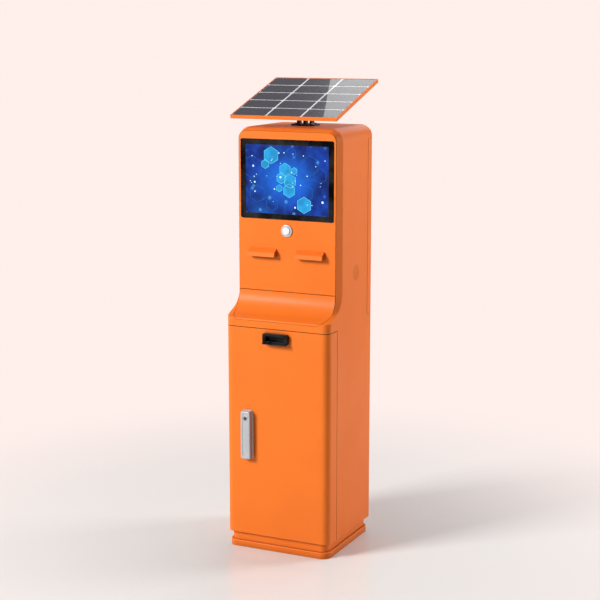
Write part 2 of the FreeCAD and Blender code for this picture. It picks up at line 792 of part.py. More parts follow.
def cam_pin_place(side):
    reach = rod_travel_radius * math.cos(math.radians(45))
    return handle_x + side * reach, spindle_z + side * reach


def lock_cam():
    y1 = rod_y - fit
    y0 = y1 - 2.5
    body = tube(V(handle_x, y0, spindle_z), 13, spindle_radius + pin_play, 2.5, ALONG_Y)
    for side in (-1, 1):
        x, z = cam_pin_place(side)
        tip = V(x, y0, z)
        body = body.fuse(round_bar(tip, 6, 2.5, ALONG_Y))
        spoke = block(10, rod_travel_radius, 0, 2.5, -6, 6)
        spoke.rotate(V(0, 0, 0), ALONG_Y, -45 if side > 0 else 135)
        spoke.translate(V(handle_x, y0, spindle_z))
        body = body.fuse(spoke)
        body = body.fuse(round_bar(tip, 3.0, 2.5 + fit + 5, ALONG_Y))
    return body.removeSplitter()


def lock_rod(side):
    """Flat bar from the cam to the door's edge; side is +1 for the upper one."""
    x, z = cam_pin_place(side)
    slot_near = abs(x - handle_x) - 3.8
    slot_far = rod_travel_radius + 3.8
    y1 = rod_y + 5
    head = block(slot_near - 4, slot_far + 4, rod_y, y1, -8, 8)
    slot = block(slot_near, slot_far, rod_y - 1, y1 + 1, -4.2, 4.2)
    tip = door_high - 6 - z if side > 0 else z - door_low - 6
    bar = block(13, 25, rod_y, y1, 6, tip)
    shape = head.fuse(bar).cut(slot).removeSplitter()
    if side < 0:
        shape.rotate(V(0, 0, 0), ALONG_Y, 180)
    shape.translate(V(handle_x, 0, z))
    return shape


def rod_guide(side, z):
    y0 = door_rear - sheet
    x = handle_x + side * 19
    body = block(x - 12, x + 12, y0, rod_y + 8, z, z + 14)
    return body.cut(block(x - 6.3, x + 6.3, rod_y - 0.3, rod_y + 5.3, z - 1, z + 15))


# ---- ticket and receipt outlet in the door ---------------------------------------------------------------------------
def mouth_neck(gap, y0, y1):
    z = mouth_z
    high = (mouth_top - mouth_bottom) / 2 - 6 + gap
    return plate(-mouth_width / 2 + 8 - gap, mouth_width / 2 - 8 + gap, z - high, z + high, 3, y0, y1)


def dispenser_bezel():
    x = mouth_width / 2
    face = plate(-x, x, mouth_bottom, mouth_top, 5, front - mouth_proud, front)
    y0 = front - mouth_proud
    lip = polygon([(y0 + 0.5, mouth_bottom), (y0 - mouth_lip, mouth_bottom), (y0 - mouth_lip, mouth_bottom + 3),
                   (y0 + 0.5, mouth_bottom + 8)], on_side(-x + 3), V(2 * x - 6, 0, 0))
    neck = mouth_neck(0, front, front + 16)
    body = joined([face, lip, neck])
    z = mouth_z
    high = (mouth_top - mouth_bottom) / 2 - 8
    return body.cut(block(-x + 11, x - 11, front - 30, front + 20, z - high, z + high))


def dispenser_flap():
    z = mouth_z
    high = (mouth_top - mouth_bottom) / 2 - 8 - 0.6
    x = mouth_width / 2 - 11 - 0.5
    leaf = block(-x, x, front + 3, front + 5, z - high, z + high - 1)
    barrel = round_bar(V(-x, front + 4, z + high - 2), 1.8, 2 * x, ALONG_X)
    return leaf.fuse(barrel).removeSplitter()


def printer_bracket():
    y0 = front + sheet
    x = printer_half + 3
    low = mouth_z - 138.5
    plate_back = block(-x, x, y0, y0 + 2, low, mouth_z - 29.5)
    cheeks = [block(x0, x0 + 3, y0, front + 95, low, mouth_z + 5.5) for x0 in (-x, printer_half)]
    body = joined([plate_back] + cheeks)
    body = body.cut(round_bar(V(-x - 5, roll_y, roll_z), 6 + pin_play, 2 * x + 10, ALONG_X))
    return body.cut(round_bar(V(printer_half - 2, platen_y, platen_z), 4.5, 10, ALONG_X))


def printer_chassis():
    y0 = front + 16 + 3
    x = printer_half - fit
    high = mouth_z + 7.5
    pocket = printer_half - 10
    slit = printer_half - 12
    body = block(-x, x, y0, front + 91, mouth_z - 44.5, high)
    body = body.cut(block(-pocket, pocket, platen_y - 10, platen_y + 10, platen_z - 16, high + 1))
    body = body.cut(block(-slit, slit, y0 - 1, platen_y, mouth_z - 3.5, mouth_z + 1.5))
    return body.cut(round_bar(V(-x - 1, platen_y, platen_z), 3 + pin_play, 2 * x + 2, ALONG_X))


def platen_roller():
    end = printer_half - 2
    face = printer_half - 12
    journal = round_bar(V(-end, platen_y, platen_z), 3, 2 * end + 12, ALONG_X)
    rubber = round_bar(V(-face, platen_y, platen_z), 8, 2 * face, ALONG_X)
    return journal.fuse(rubber).removeSplitter()


def printer_motor():
    x = printer_half + 3
    body = round_bar(V(x, platen_y, platen_z), 13, 16, ALONG_X)
    return body.cut(round_bar(V(x - 1, platen_y, platen_z), 3 + pin_play, 9, ALONG_X))


def paper_roll():
    x = printer_half - 13
    return tube(V(-x, roll_y, roll_z), roll_radius, 6 + 0.3, 2 * x, ALONG_X)


def roll_spindle():
    x = printer_half + 3
    collar = printer_half - 9
    bar = round_bar(V(-x, roll_y, roll_z), 6, 2 * x, ALONG_X)
    caps = [round_bar(V(x0, roll_y, roll_z), 9, 3, ALONG_X) for x0 in (-x - 3, x)]
    collars = [round_bar(V(x0, roll_y, roll_z), 11, 3, ALONG_X) for x0 in (-collar, collar - 3)]
    return joined([bar] + caps + collars)


# ---- rear door -------------------------------------------------------------------------------------------------------------
def rear_door():
    door = pan(rear, rear_edge, rear_door_low, rear_door_high, rear_corner, door_flange, door_flange_end)
    for z in (rear_door_low - 1, rear_door_high - sheet - 1):
        door = door.cut(round_bar(V(-hinge_x, rear_hinge_y, z), 7.1, sheet + 2, ALONG_Z))
    for z in rear_lock_heights:
        door = door.cut(round_bar(V(rear_lock_x, rear - sheet - 1, z), 11.2, sheet + 2, ALONG_Y))
    return door


def rear_hinge_bushes():
    low = bush(-hinge_x, rear_hinge_y, rear_door_low)
    high = bush(-hinge_x, rear_hinge_y, rear_door_high - 8)
    return group([low, high])


def rear_lock_body(z):
    body = tube(V(rear_lock_x, rear - 22, z), 11, 8 + pin_play, 24, ALONG_Y)
    flange = tube(V(rear_lock_x, rear, z), 14, 8 + pin_play, 2.5, ALONG_Y)
    nut = tube(V(rear_lock_x, rear - sheet - 6, z), 15, 10.9, 6, ALONG_Y)
    return joined([body, flange, nut])


def rear_lock_bodies():
    return group([rear_lock_body(z) for z in rear_lock_heights])


def rear_lock_cam(z):
    """Quarter-turn core with its tongue behind the door frame."""
    y0 = rear_frame_y - sheet - 5
    core = round_bar(V(rear_lock_x, y0, z), 8, rear + 1 - y0, ALONG_Y)
    tongue = block(rear_lock_x - 9, rear_lock_x + 40, y0, y0 + 3, z - 8, z + 8)
    slot = block(rear_lock_x - 1.2, rear_lock_x + 1.2, rear - 4, rear + 2, z - 5, z + 5)
    return core.fuse(tongue).cut(slot).removeSplitter()


# ---- solar panel and its bracket --------------------------------------------------------------------------------------------
def tilted(shape):
    """Turns a piece drawn level with the tilt bolt at the origin, and puts it in place."""
    shape = shape.copy()
    shape.rotate(V(0, 0, 0), ALONG_X, solar_tilt)
    shape.translate(V(0, pivot_y, pivot_z))
    return shape


def solar_box(gap, z0, z1):
    x = solar_width / 2 - gap
    y = solar_length / 2 - gap
    return block(-x, x, solar_shift - y, solar_shift + y, z0, z1)


def solar_frame():
    wall = 2.0
    flange = 6.0
    low = solar_rise - solar_thick
    bars = solar_box(0, low, solar_rise)
    bars = bars.cut(solar_box(wall, low + wall, solar_rise - 4.2))
    bars = bars.cut(solar_box(flange, low - 1, low + wall + 1))
    bars = bars.cut(solar_box(solar_lip, low + wall, solar_rise + 1))
    return tilted(bars.cut(solar_box(wall, solar_rise - 4.4, solar_rise - 1.0)))


def solar_glass():
    return tilted(solar_box(2.3, solar_rise - 4.2, solar_rise - 1.0))


def solar_cells():
    """Cell wafers under the glass, one thin plate for each."""
    border = solar_lip + 1.5
    gap_x = 5.0
    gap_y = 3.0
    wide = (solar_width - 2 * border - (solar_columns - 1) * gap_x) / solar_columns
    long = (solar_length - 2 * border - (solar_rows - 1) * gap_y) / solar_rows
    top = solar_rise - 4.2
    cells = []
    for column in range(solar_columns):
        for row in range(solar_rows):
            x = -solar_width / 2 + border + column * (wide + gap_x)
            y = solar_shift - solar_length / 2 + border + row * (long + gap_y)
            cells.append(block(x, x + wide, y, y + long, top - 0.6, top))
    return tilted(group(cells))


def solar_backsheet():
    return tilted(solar_box(2.3, solar_rise - 6.4, solar_rise - 4.8))


def solar_rails():
    """Two flat bars across the frame that carry the bracket."""
    low = solar_rise - solar_thick + 2
    x = solar_width / 2 - 2.3
    high = solar_rise - 6.4
    bars = [block(-x, x, y - 11, y + 11, low, high) for y in (-12, 23)]
    pads = [block(-42, 42, y - 11, y + 11, low - 2, low) for y in (-12, 23)]
    return tilted(group([bar.fuse(pad).removeSplitter() for bar, pad in zip(bars, pads)]))


def junction_box():
    low = solar_rise - solar_thick - 6
    return tilted(slab(-45, 45, 75, 125, low, solar_rise - 6.4, 4))


def tilt_bolt_places():
    return [(side * 32, pivot_y + way * 14) for side in (-1, 1) for way in (-1, 1)]


def ear(x0, x1, z0, reach):
    """Bracket cheek with a rounded end round the bolt; z0 is its root, away from the bolt."""
    bar = block(x0, x1, -reach, reach, min(0, z0), max(0, z0))
    end = round_bar(V(x0, 0, 0), reach, x1 - x0, ALONG_X)
    return bar.fuse(end).cut(round_bar(V(x0 - 1, 0, 0), bolt_radius + pin_play, x1 - x0 + 2, ALONG_X))


def tilt_base():
    foot = block(-42, 42, -25, 25, body_top - pivot_z, body_top - pivot_z + 5)
    ears = [ear(x, x + 7, body_top - pivot_z + 4, 12) for x in (-27, -3.5, 20)]
    body = joined([foot] + ears)
    body.translate(V(0, pivot_y, pivot_z))
    for x, y in tilt_bolt_places():
        body = body.cut(round_bar(V(x, y, body_top - 1), 3.2, 8, ALONG_Z))
    return body


def tilt_yoke():
    high = solar_rise - solar_thick
    top = block(-42, 42, -25, 35, high - 4, high)
    ears = [ear(x, x + 7, high - 3, 12) for x in (-35, 28)]
    return tilted(joined([top] + ears))


def tilt_bolt():
    shaft = round_bar(V(-40, pivot_y, pivot_z), bolt_radius, 84, ALONG_X)
    head = hex_bar(V(-35.4, pivot_y, pivot_z), 16, -6, ALONG_X)
    nut = hex_bar(V(35.4, pivot_y, pivot_z), 16, 8, ALONG_X)
    return joined([shaft, head, nut])


PIECES = {
    "base_plate": base_plate,
    "plinth_neck": plinth_neck,
    "cabinet_floor": cabinet_floor,
    "body_bolts": body_bolts,
    "door_frames": door_frames,
    "door_gaskets": door_gaskets,
    "hinge_pins": hinge_pins,
    "cabinet_shell": cabinet_shell,
    "equipment_shelf": equipment_shelf,
    "front_panel": front_panel,
    "scoop_panel": scoop_panel,
    "screen_bezel": screen_bezel,
    "touch_glass": touch_glass,
    "display_module": display_module,
    "display_brackets": display_brackets,
    "call_button_ring": call_button_ring,
    "call_button_cap": call_button_cap,
    "call_button_body": call_button_body,
    "left_visor": lambda: visor(-visor_span / 2),
    "right_visor": lambda: visor(visor_span / 2),
    "ticket_scanner": ticket_scanner,
    "card_reader": card_reader,
    "speaker": speaker,
    "controller_box": controller_box,
    "charge_controller": charge_controller,
    "battery_tray": battery_tray,
    "battery": battery,
    "front_door": front_door,
    "front_hinge_bushes": front_hinge_bushes,
    "door_stiffener": door_stiffener,
    "handle_dish": handle_dish,
    "swing_lever": swing_lever,
    "lever_pin": lever_pin,
    "lock_cylinder": lock_cylinder,
    "lock_spindle": lock_spindle,
    "lock_cam": lock_cam,
    "upper_lock_rod": lambda: lock_rod(1),
    "lower_lock_rod": lambda: lock_rod(-1),
    "dispenser_bezel": dispenser_bezel,
    "dispenser_flap": dispenser_flap,
    "printer_bracket": printer_bracket,
    "printer_chassis": printer_chassis,
    "printer_motor": printer_motor,
    "platen_roller": platen_roller,
    "paper_roll": paper_roll,
    "roll_spindle": roll_spindle,
    "rear_door": rear_door,
    "rear_hinge_bushes": rear_hinge_bushes,
    "rear_lock_bodies": rear_lock_bodies,
    "lower_rear_cam": lambda: rear_lock_cam(rear_lock_heights[0]),
    "upper_rear_cam": lambda: rear_lock_cam(rear_lock_heights[1]),
    "solar_frame": solar_frame,
    "solar_glass": solar_glass,
    "solar_cells": solar_cells,
    "solar_backsheet": solar_backsheet,
    "solar_rails": solar_rails,
    "junction_box": junction_box,
    "tilt_base": tilt_base,
    "tilt_yoke": tilt_yoke,
    "tilt_bolt": tilt_bolt,
}

os.makedirs("parts", exist_ok=True)
for name, make in PIECES.items():
    piece = make()
    print(name, len(piece.Solids), piece.isValid(), round(piece.Volume))
    piece.exportStep("parts/" + name + ".step")
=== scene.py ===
"""Finishes and fine detail of a parking pay station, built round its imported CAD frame."""

import json
import math
import random

import bmesh
import bpy
from mathutils import Matrix, Vector

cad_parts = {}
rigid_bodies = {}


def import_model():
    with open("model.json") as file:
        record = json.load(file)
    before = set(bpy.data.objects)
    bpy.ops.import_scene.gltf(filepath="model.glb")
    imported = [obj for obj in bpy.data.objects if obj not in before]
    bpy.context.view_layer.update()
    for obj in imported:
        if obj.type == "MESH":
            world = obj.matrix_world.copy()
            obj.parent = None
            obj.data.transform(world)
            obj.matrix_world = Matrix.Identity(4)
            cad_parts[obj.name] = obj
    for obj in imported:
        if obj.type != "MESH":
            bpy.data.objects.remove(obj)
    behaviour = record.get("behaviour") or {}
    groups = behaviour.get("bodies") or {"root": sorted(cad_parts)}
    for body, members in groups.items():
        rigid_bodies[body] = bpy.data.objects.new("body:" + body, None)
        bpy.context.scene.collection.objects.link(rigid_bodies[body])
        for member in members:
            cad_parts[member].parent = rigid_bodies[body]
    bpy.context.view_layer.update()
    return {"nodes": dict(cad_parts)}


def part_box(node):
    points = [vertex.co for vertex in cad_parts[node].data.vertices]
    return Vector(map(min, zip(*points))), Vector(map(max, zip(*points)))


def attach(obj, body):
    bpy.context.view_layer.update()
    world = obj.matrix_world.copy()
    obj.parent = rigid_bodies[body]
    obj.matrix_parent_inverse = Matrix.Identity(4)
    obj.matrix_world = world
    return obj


for item in list(bpy.data.objects):
    bpy.data.objects.remove(item)
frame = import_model()

# ---- values in metres ------------------------------------------------------------------------
camera_place = (2.1446, -4.4987, 1.7732)
camera_azimuth = 25.47
camera_fall = 10.54
camera_lens = 89.06

backdrop = (1.0, 0.868, 0.832, 1.0)
orange = (0.86, 0.188, 0.019, 1.0)
orange_deep = (0.74, 0.145, 0.016, 1.0)

glow_lift = 0.0002          # screen graphics stand this far out of the glass
rim_width = 0.0014
outline_width = 0.0007
link_width = 0.0006
spark_radii = (0.0012, 0.0016, 0.0020, 0.0026, 0.0034)
spark_count = 34
bright_spark = (0.86, -0.60)
bright_spark_radius = 0.0042

cell_lift = 0.00015         # cell faces stand this far out of the panel's glass
cell_columns = 3
cell_rows = 5
cell_gap_across = 0.0065
cell_gap_along = 0.0045
cell_corner_cut = 0.0045
solar_tilt = math.radians(18.1)

floor_reach = 14.0
floor_depth = 0.05
floor_colour = (0.76, 0.78, 0.79, 1)
floor_fade = (0.25, 2.0)    # distances at which the floor starts and ends its fade into the backdrop

dome_light = 0.34
dome_gap = 0.02
dome_gap_heading = (0.80, -0.60, 0.0)
front_softbox = {"place": (-3.3, -4.4, 3.5), "aim": (0, 0, 0.6), "size": (1.8, 2.0), "power": 418.0,
                 "colour": (1, 0.985, 0.95)}
side_softbox = {"place": (2.7, 2.2, 1.7), "aim": (0, 0, 0.7), "size": (1.2, 2.4), "power": 90.0,
                "colour": (1, 0.94, 0.9)}
panel_softbox_size = (2.2, 2.6)
panel_softbox_power = 30.0
panel_softbox_distance = 2.3
shine_edge_back = 0.018     # where the softbox's edge crosses the top and bottom of the solar glass
shine_edge_front = 0.145

# ---- node groups ------------------------------------------------------------------------------
SOCKETS = {"value": "NodeSocketFloat", "colour": "NodeSocketColor", "vector": "NodeSocketVector"}


class Graph:
    """Short way to place and join the nodes of one tree."""

    def __init__(self, tree):
        self.tree = tree

    def feed(self, socket, value):
        if isinstance(value, bpy.types.NodeSocket):
            self.tree.links.new(value, socket)
        else:
            socket.default_value = value

    def maths(self, operation, first, second=0.0, clamp=False):
        node = self.tree.nodes.new("ShaderNodeMath")
        node.operation = operation
        node.use_clamp = clamp
        self.feed(node.inputs[0], first)
        self.feed(node.inputs[1], second)
        return node.outputs[0]

    def mix(self, factor, first, second):
        node = self.tree.nodes.new("ShaderNodeMix")
        node.data_type = "RGBA"
        self.feed(node.inputs[0], factor)
        self.feed(node.inputs[6], first)
        self.feed(node.inputs[7], second)
        return node.outputs[2]

    def blend(self, value, low, high, to_low=0.0, to_high=1.0):
        node = self.tree.nodes.new("ShaderNodeMapRange")
        node.interpolation_type = "SMOOTHSTEP"
        for place, part in enumerate((value, low, high, to_low, to_high)):
            self.feed(node.inputs[place], part)
        return node.outputs[0]

    def noise(self, vector, scale, detail=2.0, roughness=0.5):
        node = self.tree.nodes.new("ShaderNodeTexNoise")
        self.feed(node.inputs["Vector"], vector)
        node.inputs["Scale"].default_value = scale
        node.inputs["Detail"].default_value = detail
        node.inputs["Roughness"].default_value = roughness
        return node.outputs[0]

    def stretch(self, vector, scale):
        node = self.tree.nodes.new("ShaderNodeMapping")
        self.feed(node.inputs["Vector"], vector)
        node.inputs["Scale"].default_value = scale
        return node.outputs[0]

    def vectors(self, operation, first, second=None):
        node = self.tree.nodes.new("ShaderNodeVectorMath")
        node.operation = operation
        self.feed(node.inputs[0], first)
        if second is not None:
            self.feed(node.inputs[1], second)
        return node.outputs

    def bevel(self, radius):
        node = self.tree.nodes.new("ShaderNodeBevel")
        node.samples = 4
        self.feed(node.inputs["Radius"], radius)
        return node.outputs[0]

    def here(self):
        return self.tree.nodes.new("ShaderNodeTexCoord").outputs["Object"]

    def bump(self, height, strength, distance, normal=None):
        node = self.tree.nodes.new("ShaderNodeBump")
        node.inputs["Strength"].default_value = strength
        node.inputs["Distance"].default_value = distance
        self.feed(node.inputs["Height"], height)
        if normal is not None:
            self.feed(node.inputs["Normal"], normal)
        return node.outputs[0]


def new_group(name, takes, gives):
    tree = bpy.data.node_groups.new(name, "ShaderNodeTree")
    for label, kind, value in takes:
        socket = tree.interface.new_socket(label, in_out="INPUT", socket_type=SOCKETS[kind])
        socket.default_value = value
    for label, kind in gives:
        tree.interface.new_socket(label, in_out="OUTPUT", socket_type=SOCKETS[kind])
    graph = Graph(tree)
    return graph, tree.nodes.new("NodeGroupInput").outputs, tree.nodes.new("NodeGroupOutput").inputs


def edge_wear_and_highlight_group():
    """Mask of the outer edges, broken up by noise: rubbed wear on the finish together with a painted
    highlight along the edges.
    """
    graph, takes, gives = new_group(
        "edge_wear_and_highlight", [("Width", "value", 0.001), ("Amount", "value", 1.0)], [("Mask", "value")])
    flat = graph.tree.nodes.new("ShaderNodeNewGeometry").outputs["Normal"]
    facing = graph.vectors("DOT_PRODUCT", graph.bevel(takes["Width"]), flat)["Value"]
    turned = graph.maths("SUBTRACT", 1.0, facing)
    edge = graph.blend(turned, 0.02, 0.22)
    broken = graph.blend(graph.noise(graph.here(), 60.0, 4.0, 0.6), 0.42, 0.62, 0.35, 1.0)
    mask = graph.maths("MULTIPLY", graph.maths("MULTIPLY", edge, broken), takes["Amount"], True)
    graph.feed(gives["Mask"], mask)
    return graph.tree


def powder_group():
    """Powder coat: slow drift of colour, a fine orange-peel surface and a little dust."""
    graph, takes, gives = new_group(
        "powder_coat",
        [("Colour", "colour", orange), ("Deep", "colour", orange_deep), ("Gloss", "value", 0.36)],
        [("Colour", "colour"), ("Roughness", "value"), ("Height", "value")])
    spot = graph.here()
    drift = graph.blend(graph.noise(spot, 3.1, 3.0, 0.55), 0.35, 0.7)
    fleck = graph.blend(graph.noise(spot, 900.0, 1.0, 0.5), 0.3, 0.75, 0.0, 0.25)
    tone = graph.mix(graph.maths("MULTIPLY", drift, 0.35), takes["Colour"], takes["Deep"])
    tone = graph.mix(fleck, tone, takes["Deep"])
    peel = graph.noise(spot, 420.0, 2.0, 0.45)
    soft = graph.noise(spot, 140.0, 1.0, 0.5)
    height = graph.maths("ADD", graph.maths("MULTIPLY", peel, 0.6), graph.maths("MULTIPLY", soft, 0.4))
    cloud = graph.blend(graph.noise(spot, 7.0, 4.0, 0.6), 0.3, 0.75, -0.03, 0.05)
    graph.feed(gives["Colour"], tone)
    graph.feed(gives["Roughness"], graph.maths("ADD", takes["Gloss"], cloud))
    graph.feed(gives["Height"], height)
    return graph.tree


def grain_group():
    """Fine directional grain of rolled or brushed metal."""
    graph, takes, gives = new_group(
        "metal_grain",
        [("Colour", "colour", (0.6, 0.6, 0.6, 1)), ("Gloss", "value", 0.3),
         ("Stretch", "vector", (40, 900, 900))],
        [("Colour", "colour"), ("Roughness", "value"), ("Height", "value")])
    spot = graph.here()
    lines = graph.noise(graph.vectors("MULTIPLY", spot, takes["Stretch"])[0], 1.0, 4.0, 0.6)
    cloud = graph.noise(spot, 22.0, 3.0, 0.6)
    shade = graph.mix(graph.blend(lines, 0.3, 0.7, 0.0, 0.22), takes["Colour"], (0.12, 0.12, 0.13, 1))
    shade = graph.mix(graph.blend(cloud, 0.35, 0.7, 0.0, 0.14), shade, (0.9, 0.9, 0.92, 1))
    rough = graph.maths("ADD", takes["Gloss"], graph.blend(lines, 0.25, 0.75, -0.06, 0.1))
    graph.feed(gives["Colour"], shade)
    graph.feed(gives["Roughness"], rough)
    graph.feed(gives["Height"], lines)
    return graph.tree


def mould_group():
    """Moulded plastic or rubber: fine spark-eroded texture with faint clouding."""
    graph, takes, gives = new_group(
        "moulded_skin",
        [("Colour", "colour", (0.05, 0.05, 0.05, 1)), ("Gloss", "value", 0.5),
         ("Fineness", "value", 700.0)],
        [("Colour", "colour"), ("Roughness", "value"), ("Height", "value")])
    spot = graph.here()
    texture = graph.tree.nodes.new("ShaderNodeTexNoise")
    graph.feed(texture.inputs["Vector"], spot)
    graph.feed(texture.inputs["Scale"], takes["Fineness"])
    cloud = graph.noise(spot, 14.0, 4.0, 0.6)
    lighter = graph.mix(0.5, takes["Colour"], (0.5, 0.5, 0.5, 1))
    shade = graph.mix(graph.blend(cloud, 0.3, 0.75, 0.0, 0.1), takes["Colour"], lighter)
    rough = graph.maths("ADD", takes["Gloss"], graph.blend(cloud, 0.3, 0.7, -0.04, 0.08))
    graph.feed(gives["Colour"], shade)
    graph.feed(gives["Roughness"], rough)
    graph.feed(gives["Height"], texture.outputs[0])
    return graph.tree


def painted_shade_group():
    """Mask of the seams, slots and inner corners from ambient occlusion: painted shade where little light
    reaches.
    """
    graph, takes, gives = new_group("recess_shade", [("Reach", "value", 0.03)], [("Mask", "value")])
    near = graph.tree.nodes.new("ShaderNodeAmbientOcclusion")
    near.samples = 6
    graph.feed(near.inputs["Distance"], takes["Reach"])
    graph.feed(gives["Mask"], graph.blend(near.outputs["AO"], 0.22, 0.74, 0.9, 0.0))
    return graph.tree


EDGE_WEAR_AND_HIGHLIGHT = edge_wear_and_highlight_group()
PAINTED_SHADE = painted_shade_group()
POWDER = powder_group()
GRAIN = grain_group()
MOULD = mould_group()


# ---- materials ----------------------------------------------------------------------------------
def new_material(name):
    material = bpy.data.materials.new(name)
    material.use_nodes = True
    graph = Graph(material.node_tree)
    return material, graph, material.node_tree.nodes["Principled BSDF"]


def place_group(graph, tree, **values):
    node = graph.tree.nodes.new("ShaderNodeGroup")
    node.node_tree = tree
    for label, value in values.items():
        graph.feed(node.inputs[label.capitalize()], value)
    return node.outputs


def powder_coat(name, colour, deep, gloss=0.42, coat=0.04, worn_and_highlit=(0.95, 0.34, 0.10, 1), radius=0.0012):
    material, graph, shader = new_material(name)
    skin = place_group(graph, POWDER, colour=colour, deep=deep, gloss=gloss)
    # Edges turn a lighter colour: partly rubbed wear, partly a painted highlight along the edges.
    edge = place_group(graph, EDGE_WEAR_AND_HIGHLIGHT, width=0.0014, amount=0.5)
    tone = graph.mix(edge["Mask"], skin["Colour"], worn_and_highlit)
    # Painted shade: seams, slots, the plinth neck and the panel under the hoods are darkened towards this
    # deep shade colour.
    painted_shade_mask = place_group(graph, PAINTED_SHADE, reach=0.055)
    shade = tuple(part * 0.16 for part in deep[:3]) + (1,)
    graph.feed(shader.inputs["Base Color"], graph.mix(painted_shade_mask["Mask"], tone, shade))
    graph.feed(shader.inputs["Roughness"], skin["Roughness"])
    normal = graph.bump(skin["Height"], 0.10, 0.0004, graph.bevel(radius))
    graph.feed(shader.inputs["Normal"], normal)
    shader.inputs["Coat Weight"].default_value = coat
    shader.inputs["Coat Roughness"].default_value = 0.22
    shader.inputs["Specular IOR Level"].default_value = 0.16
    return material


def metal(name, colour, gloss, stretch, metallic=1.0, strength=0.08, radius=0.0006, bright=0.5):
    material, graph, shader = new_material(name)
    skin = place_group(graph, GRAIN, colour=colour, gloss=gloss, stretch=stretch)
    # Edges go towards near white: a painted highlight, partly rubbed wear; bright sets how strongly.
    edge = place_group(graph, EDGE_WEAR_AND_HIGHLIGHT, width=0.0008, amount=bright)
    graph.feed(shader.inputs["Base Color"], graph.mix(edge["Mask"], skin["Colour"], (0.95, 0.95, 0.96, 1)))
    graph.feed(shader.inputs["Roughness"], skin["Roughness"])
    graph.feed(shader.inputs["Normal"], graph.bump(skin["Height"], strength, 0.0002, graph.bevel(radius)))
    shader.inputs["Metallic"].default_value = metallic
    return material


def plastic(name, colour, gloss, fineness=700.0, coat=0.0, strength=0.12, radius=0.0006, shine=0.5):
    material, graph, shader = new_material(name)
    skin = place_group(graph, MOULD, colour=colour, gloss=gloss, fineness=fineness)
    # Edges go lighter grey: partly rubbed wear, partly a painted highlight along the edges.
    edge = place_group(graph, EDGE_WEAR_AND_HIGHLIGHT, width=0.0008, amount=0.25)
    graph.feed(shader.inputs["Base Color"], graph.mix(edge["Mask"], skin["Colour"], (0.55, 0.55, 0.55, 1)))
    graph.feed(shader.inputs["Roughness"], skin["Roughness"])
    graph.feed(shader.inputs["Normal"], graph.bump(skin["Height"], strength, 0.0003, graph.bevel(radius)))
    shader.inputs["Coat Weight"].default_value = coat
    shader.inputs["Coat Roughness"].default_value = 0.05
    shader.inputs["Specular IOR Level"].default_value = shine
    return material


def lit_glass():
    """Face of the display: deep blue field with slow clouds, drifting glow and small sparks."""
    material, graph, shader = new_material("lit_display")
    spot = graph.here()
    low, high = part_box("touch_glass")
    middle = graph.tree.nodes.new("ShaderNodeMapping")
    graph.feed(middle.inputs["Vector"], spot)
    centre = (low + high) / 2
    middle.inputs["Location"].default_value = (-centre.x, -centre.y, -centre.z)
    spread = graph.stretch(middle.outputs[0], (7.0, 0.0, 8.5))
    distance = graph.vectors("LENGTH", spread)["Value"]
    cloud = graph.noise(graph.stretch(spot, (1, 0, 1)), 14.0, 3.0, 0.6)
    wave = graph.noise(graph.stretch(spot, (1, 0, 1)), 5.0, 1.0, 0.5)
    near = graph.blend(distance, 0.0, 1.05, 1.0, 0.0)
    field = graph.mix(graph.blend(cloud, 0.35, 0.72), (0.002, 0.009, 0.11, 1), (0.006, 0.06, 0.46, 1))
    field = graph.mix(graph.maths("MULTIPLY", near, 0.75), field, (0.014, 0.20, 0.92, 1))
    field = graph.mix(graph.blend(wave, 0.52, 0.75, 0.0, 0.45), field, (0.02, 0.22, 0.95, 1))
    sparks = graph.tree.nodes.new("ShaderNodeTexVoronoi")
    graph.feed(sparks.inputs["Vector"], graph.stretch(spot, (1, 0, 1)))
    sparks.inputs["Scale"].default_value = 34.0
    halo = graph.blend(sparks.outputs["Distance"], 0.02, 0.3, 0.5, 0.0)
    chance = graph.tree.nodes.new("ShaderNodeSeparateColor")
    graph.feed(chance.inputs[0], sparks.outputs["Color"])
    shown = graph.blend(chance.outputs[0], 0.62, 0.66)
    field = graph.mix(graph.maths("MULTIPLY", halo, shown), field, (0.16, 0.62, 1.0, 1))
    graph.feed(shader.inputs["Base Color"], graph.mix(0.85, field, (0.0, 0.0, 0.0, 1)))
    graph.feed(shader.inputs["Emission Color"], field)
    shader.inputs["Emission Strength"].default_value = 0.95
    smear = graph.blend(graph.noise(spot, 30.0, 4.0, 0.6), 0.35, 0.8, 0.05, 0.11)
    graph.feed(shader.inputs["Roughness"], smear)
    return material


def glow(name, colour, strength, spread):
    """Lit graphics on the display; the brightness drifts over the surface."""
    material, graph, shader = new_material(name)
    drift = graph.noise(graph.stretch(graph.here(), (1, 0, 1)), spread, 2.0, 0.5)
    dim = tuple(part * 0.72 for part in colour[:3]) + (1.0,)
    graph.feed(shader.inputs["Emission Color"], graph.mix(graph.blend(drift, 0.35, 0.65), dim, colour))
    shader.inputs["Emission Strength"].default_value = strength
    shader.inputs["Base Color"].default_value = (0.0, 0.01, 0.03, 1)
    graph.feed(shader.inputs["Roughness"], graph.blend(drift, 0.3, 0.7, 0.05, 0.1))
    return material


